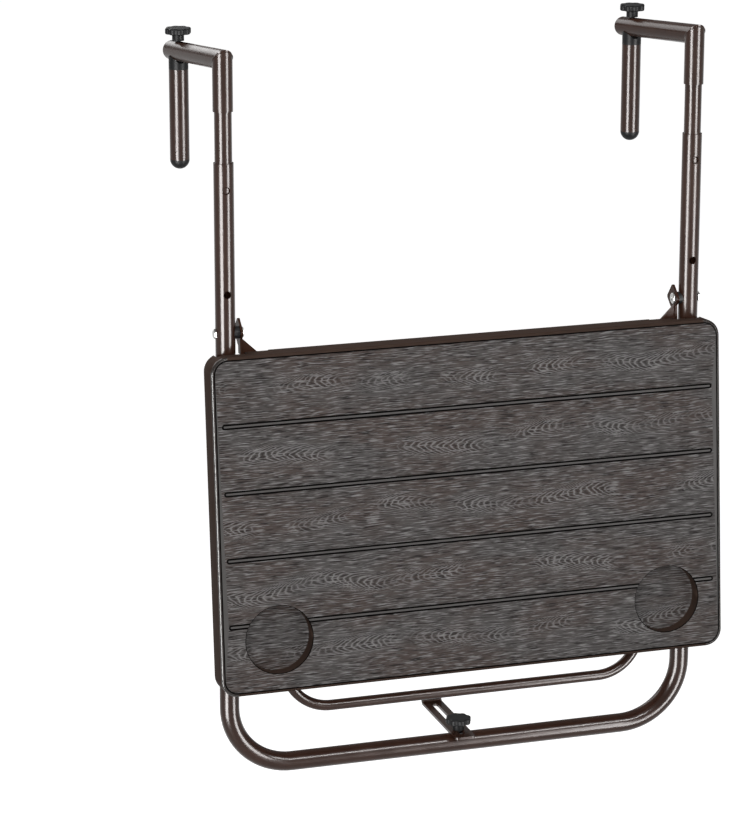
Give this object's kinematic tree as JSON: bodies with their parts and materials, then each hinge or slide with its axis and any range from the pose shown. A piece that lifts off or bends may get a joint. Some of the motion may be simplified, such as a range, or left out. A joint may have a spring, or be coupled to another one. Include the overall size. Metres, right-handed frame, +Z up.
{
  "type": "folding balcony table",
  "caption": "Folding balcony table with a plank-look plastic top, tube frame, telescoping rail hooks with clamp pegs, support strut and adjustable rear spacer.",
  "frame": {"origin": "rail seat: midway between the hooks, on the top front edge of the handrail", "axes": "+X across the table to the right, +Y away from the user through the railing, +Z up"},
  "size_m": [0.595, 0.2794, 0.83],
  "materials": {
    "frame_paint": "glossy dark brown powder coat",
    "top_plastic": "dark grey-brown moulding with embossed wood grain and a glossy rim",
    "black_plastic": "black moulded plastic",
    "bright_steel": "bright zinc plate"
  },
  "bodies": {
    "frame": {"left_post": "frame_paint", "right_post": "frame_paint", "bottom_bar": "frame_paint", "cross_tube": "frame_paint", "left_strut_spacer": "black_plastic", "right_strut_spacer": "black_plastic", "threaded_insert": "bright_steel", "hinge_bolts": "bright_steel", "hinge_nuts": "bright_steel", "hinge_bushes": "black_plastic"},
    "table_top": {"table_panel": "top_plastic", "left_hinge_bracket": "frame_paint", "right_hinge_bracket": "frame_paint", "bracket_screws": "bright_steel", "strut_catches": "black_plastic"},
    "strut": {"left_strut_leg": "frame_paint", "right_strut_leg": "frame_paint", "strut_bar": "frame_paint", "strut_sleeves": "frame_paint"},
    "spacer": {"spacer_plate": "frame_paint"},
    "spacer_knob": {"spacer_knob": "black_plastic", "spacer_stud": "bright_steel"},
    "left_hook": {"left_hook_leg": "frame_paint", "left_hook_arm": "frame_paint", "left_arm_plug": "black_plastic", "left_slide_tube": "frame_paint", "left_button_spring": "bright_steel"},
    "left_button": {"left_button": "bright_steel"},
    "left_peg": {"left_peg_tube": "frame_paint", "left_peg_cradle": "black_plastic", "left_peg_nut": "bright_steel", "left_peg_plug": "black_plastic"},
    "left_knob": {"left_knob": "black_plastic", "left_knob_stud": "bright_steel"},
    "right_hook": {"right_hook_leg": "frame_paint", "right_hook_arm": "frame_paint", "right_arm_plug": "black_plastic", "right_slide_tube": "frame_paint", "right_button_spring": "bright_steel"},
    "right_button": {"right_button": "bright_steel"},
    "right_peg": {"right_peg_tube": "frame_paint", "right_peg_cradle": "black_plastic", "right_peg_nut": "bright_steel", "right_peg_plug": "black_plastic"},
    "right_knob": {"right_knob": "black_plastic", "right_knob_stud": "bright_steel"}
  },
  "joints": [
    {"name": "top_fold", "type": "hinge", "parent": "frame", "child": "table_top", "pos_m": [0, -0.011, -0.28835], "axis": [-1, 0, 0], "range_deg": [0, 85]},
    {"name": "strut_swing", "type": "hinge", "parent": "frame", "child": "strut", "pos_m": [0, -0.011, -0.43935], "axis": [-1, 0, 0], "range_deg": [0, 118]},
    {"name": "spacer_slide", "type": "slide", "parent": "frame", "child": "spacer", "axis": [0, 1, 0], "range_m": [-0.075, 0.014]},
    {"name": "spacer_knob_turn", "type": "hinge", "parent": "frame", "child": "spacer_knob", "pos_m": [0, -0.011, -0.78225], "axis": [0, 0, 1], "continuous": true},
    {"name": "left_hook_slide", "type": "slide", "parent": "frame", "child": "left_hook", "axis": [0, 0, 1], "range_m": [-0.056, 0]},
    {"name": "left_button_press", "type": "slide", "parent": "left_hook", "child": "left_button", "axis": [0, 1, 0], "range_m": [0, 0.004], "stiffness_N_per_m": 800, "springref_m": -0.004, "deforming": ["left_button_spring"]},
    {"name": "left_peg_slide", "type": "slide", "parent": "left_hook", "child": "left_peg", "axis": [0, -0.9936, 0.1132], "range_m": [0, 0.062]},
    {"name": "left_knob_turn", "type": "hinge", "parent": "left_peg", "child": "left_knob", "pos_m": [-0.272, 0.175, 0], "axis": [0, 0, 1], "continuous": true},
    {"name": "right_hook_slide", "type": "slide", "parent": "frame", "child": "right_hook", "axis": [0, 0, 1], "range_m": [-0.056, 0]},
    {"name": "right_button_press", "type": "slide", "parent": "right_hook", "child": "right_button", "axis": [0, 1, 0], "range_m": [0, 0.004], "stiffness_N_per_m": 800, "springref_m": -0.004, "deforming": ["right_button_spring"]},
    {"name": "right_peg_slide", "type": "slide", "parent": "right_hook", "child": "right_peg", "axis": [0, -0.9936, 0.1132], "range_m": [0, 0.062]},
    {"name": "right_knob_turn", "type": "hinge", "parent": "right_peg", "child": "right_knob", "pos_m": [0.272, 0.175, 0], "axis": [0, 0, 1], "continuous": true}
  ],
  "couplings": [
    {"joint": "strut_swing", "follows": "top_fold", "ratio": 1.3771}
  ]
}
